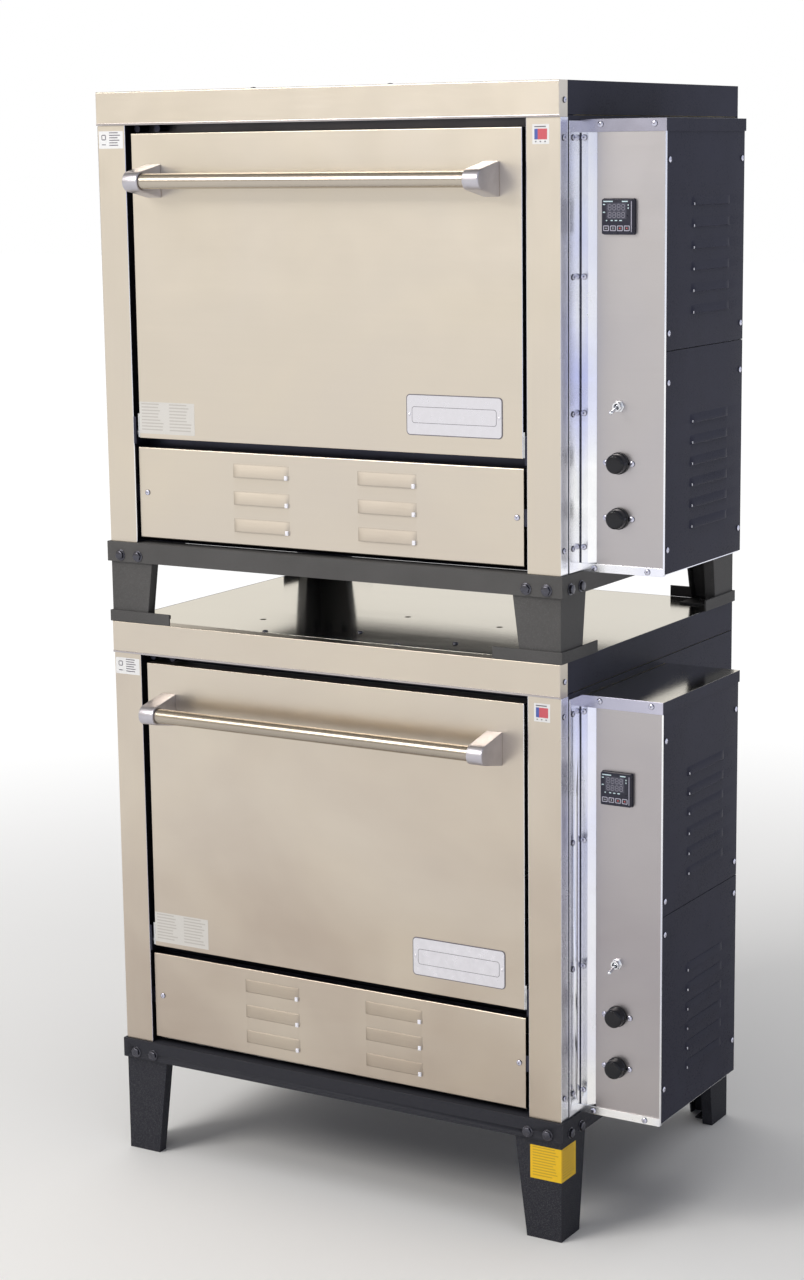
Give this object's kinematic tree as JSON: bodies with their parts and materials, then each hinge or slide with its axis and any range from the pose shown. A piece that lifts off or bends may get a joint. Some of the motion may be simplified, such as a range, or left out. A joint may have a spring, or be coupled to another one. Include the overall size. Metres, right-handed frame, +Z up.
{
  "type": "deck oven",
  "caption": "Stacked electric deck ovens on angle-iron legs, with drop-down doors, tube handles, louvred kick panels and side control boxes.",
  "frame": {"origin": "on the floor, at the middle of the foot of the whole stack", "axes": "+Z up, +X to the right as the user faces the doors, -Y towards the user"},
  "size_m": [0.904, 0.6474, 1.6262],
  "materials": {
    "stainless_front": "vertical brushed stainless steel, warm satin",
    "bright_steel": "bright finely brushed stainless steel",
    "roof_steel": "light satin steel sheet",
    "aluminised_liner": "dull aluminised steel, heat-tinted",
    "black_paint": "satin black enamel on structural steel",
    "gloss_black_paint": "gloss black enamel on sheet steel",
    "cast_aluminium": "satin cast aluminium",
    "plated_steel": "zinc and nickel plated hardware",
    "chrome_plate": "polished chrome",
    "plate_aluminium": "satin anodised aluminium, blank",
    "element_sheath": "oxidised alloy sheath",
    "hearth_stone": "fired cordierite hearth",
    "mineral_wool": "matted mineral wool",
    "gloss_black_plastic": "moulded gloss black",
    "matte_black_plastic": "moulded matt black",
    "key_plastic": "moulded dark grey"
  },
  "bodies": {
    "root": {"lower_base_frame": "black_paint", "upper_base_frame": "black_paint", "lower_cap_trim": "stainless_front", "upper_cap_trim": "stainless_front", "lower_top_cover": "roof_steel", "upper_top_cover": "roof_steel", "lower_baking_chamber": "aluminised_liner", "upper_baking_chamber": "aluminised_liner", "lower_kick_panel": "stainless_front", "upper_kick_panel": "stainless_front", "lower_control_box": "bright_steel", "upper_control_box": "bright_steel", "lower_control_panel": "stainless_front", "upper_control_panel": "stainless_front", "lower_side_covers": "gloss_black_paint", "upper_side_covers": "gloss_black_paint", "legs": "black_paint", "leg_cups": "black_paint", "corner_posts": "stainless_front", "side_panels": "gloss_black_paint", "rear_and_bottom_panels": "gloss_black_paint", "insulation": "mineral_wool", "hearth_decks": "hearth_stone", "deck_rails": "aluminised_liner", "heating_elements": "element_sheath", "thermocouples": "plated_steel", "door_hardware": "plated_steel", "temperature_controllers": "matte_black_plastic", "switch_bodies": "matte_black_plastic", "contactors": "matte_black_plastic", "cable_glands": "matte_black_plastic", "fasteners": "plated_steel"},
    "lower_door": {"lower_door_skin": "stainless_front", "lower_door_liner": "aluminised_liner", "lower_door_insulation": "mineral_wool", "lower_handle_tube": "bright_steel", "lower_handle_brackets": "cast_aluminium", "lower_door_hinge_arms": "plated_steel", "lower_nameplate": "plate_aluminium"},
    "upper_door": {"upper_door_skin": "stainless_front", "upper_door_liner": "aluminised_liner", "upper_door_insulation": "mineral_wool", "upper_handle_tube": "bright_steel", "upper_handle_brackets": "cast_aluminium", "upper_door_hinge_arms": "plated_steel", "upper_nameplate": "plate_aluminium"},
    "lower_toggle": {"lower_toggle_lever": "chrome_plate"},
    "lower_top_heat_dial": {"lower_top_heat_knob": "gloss_black_plastic"},
    "lower_bottom_heat_dial": {"lower_bottom_heat_knob": "gloss_black_plastic"},
    "lower_push_key_1": {"lower_key_1": "key_plastic"},
    "lower_push_key_2": {"lower_key_2": "key_plastic"},
    "lower_push_key_3": {"lower_key_3": "key_plastic"},
    "lower_push_key_4": {"lower_key_4": "key_plastic"},
    "upper_toggle": {"upper_toggle_lever": "chrome_plate"},
    "upper_top_heat_dial": {"upper_top_heat_knob": "gloss_black_plastic"},
    "upper_bottom_heat_dial": {"upper_bottom_heat_knob": "gloss_black_plastic"},
    "upper_push_key_1": {"upper_key_1": "key_plastic"},
    "upper_push_key_2": {"upper_key_2": "key_plastic"},
    "upper_push_key_3": {"upper_key_3": "key_plastic"},
    "upper_push_key_4": {"upper_key_4": "key_plastic"}
  },
  "joints": [
    {"name": "lower_door_hinge", "type": "hinge", "parent": "root", "child": "lower_door", "pos_m": [-0.062, -0.25525, 0.345], "axis": [1, 0, 0], "range_deg": [0, 90]},
    {"name": "upper_door_hinge", "type": "hinge", "parent": "root", "child": "upper_door", "pos_m": [-0.062, -0.25525, 1.128], "axis": [1, 0, 0], "range_deg": [0, 90]},
    {"name": "lower_toggle_throw", "type": "hinge", "parent": "root", "child": "lower_toggle", "pos_m": [0.379, -0.21175, 0.409], "axis": [-1, 0, 0], "range_deg": [0, 34]},
    {"name": "lower_top_heat_turn", "type": "hinge", "parent": "root", "child": "lower_top_heat_dial", "pos_m": [0.379, -0.20925, 0.332], "axis": [0, 1, 0], "range_deg": [0, 270]},
    {"name": "lower_bottom_heat_turn", "type": "hinge", "parent": "root", "child": "lower_bottom_heat_dial", "pos_m": [0.379, -0.20925, 0.2565], "axis": [0, 1, 0], "range_deg": [0, 270]},
    {"name": "lower_key_1_press", "type": "slide", "parent": "root", "child": "lower_push_key_1", "axis": [0, 1, 0], "range_m": [0, 0.0005], "stiffness_N_per_m": 300},
    {"name": "lower_key_2_press", "type": "slide", "parent": "root", "child": "lower_push_key_2", "axis": [0, 1, 0], "range_m": [0, 0.0005], "stiffness_N_per_m": 300},
    {"name": "lower_key_3_press", "type": "slide", "parent": "root", "child": "lower_push_key_3", "axis": [0, 1, 0], "range_m": [0, 0.0005], "stiffness_N_per_m": 300},
    {"name": "lower_key_4_press", "type": "slide", "parent": "root", "child": "lower_push_key_4", "axis": [0, 1, 0], "range_m": [0, 0.0005], "stiffness_N_per_m": 300},
    {"name": "upper_toggle_throw", "type": "hinge", "parent": "root", "child": "upper_toggle", "pos_m": [0.379, -0.21175, 1.192], "axis": [-1, 0, 0], "range_deg": [0, 34]},
    {"name": "upper_top_heat_turn", "type": "hinge", "parent": "root", "child": "upper_top_heat_dial", "pos_m": [0.379, -0.20925, 1.115], "axis": [0, 1, 0], "range_deg": [0, 270]},
    {"name": "upper_bottom_heat_turn", "type": "hinge", "parent": "root", "child": "upper_bottom_heat_dial", "pos_m": [0.379, -0.20925, 1.0395], "axis": [0, 1, 0], "range_deg": [0, 270]},
    {"name": "upper_key_1_press", "type": "slide", "parent": "root", "child": "upper_push_key_1", "axis": [0, 1, 0], "range_m": [0, 0.0005], "stiffness_N_per_m": 300},
    {"name": "upper_key_2_press", "type": "slide", "parent": "root", "child": "upper_push_key_2", "axis": [0, 1, 0], "range_m": [0, 0.0005], "stiffness_N_per_m": 300},
    {"name": "upper_key_3_press", "type": "slide", "parent": "root", "child": "upper_push_key_3", "axis": [0, 1, 0], "range_m": [0, 0.0005], "stiffness_N_per_m": 300},
    {"name": "upper_key_4_press", "type": "slide", "parent": "root", "child": "upper_push_key_4", "axis": [0, 1, 0], "range_m": [0, 0.0005], "stiffness_N_per_m": 300}
  ]
}
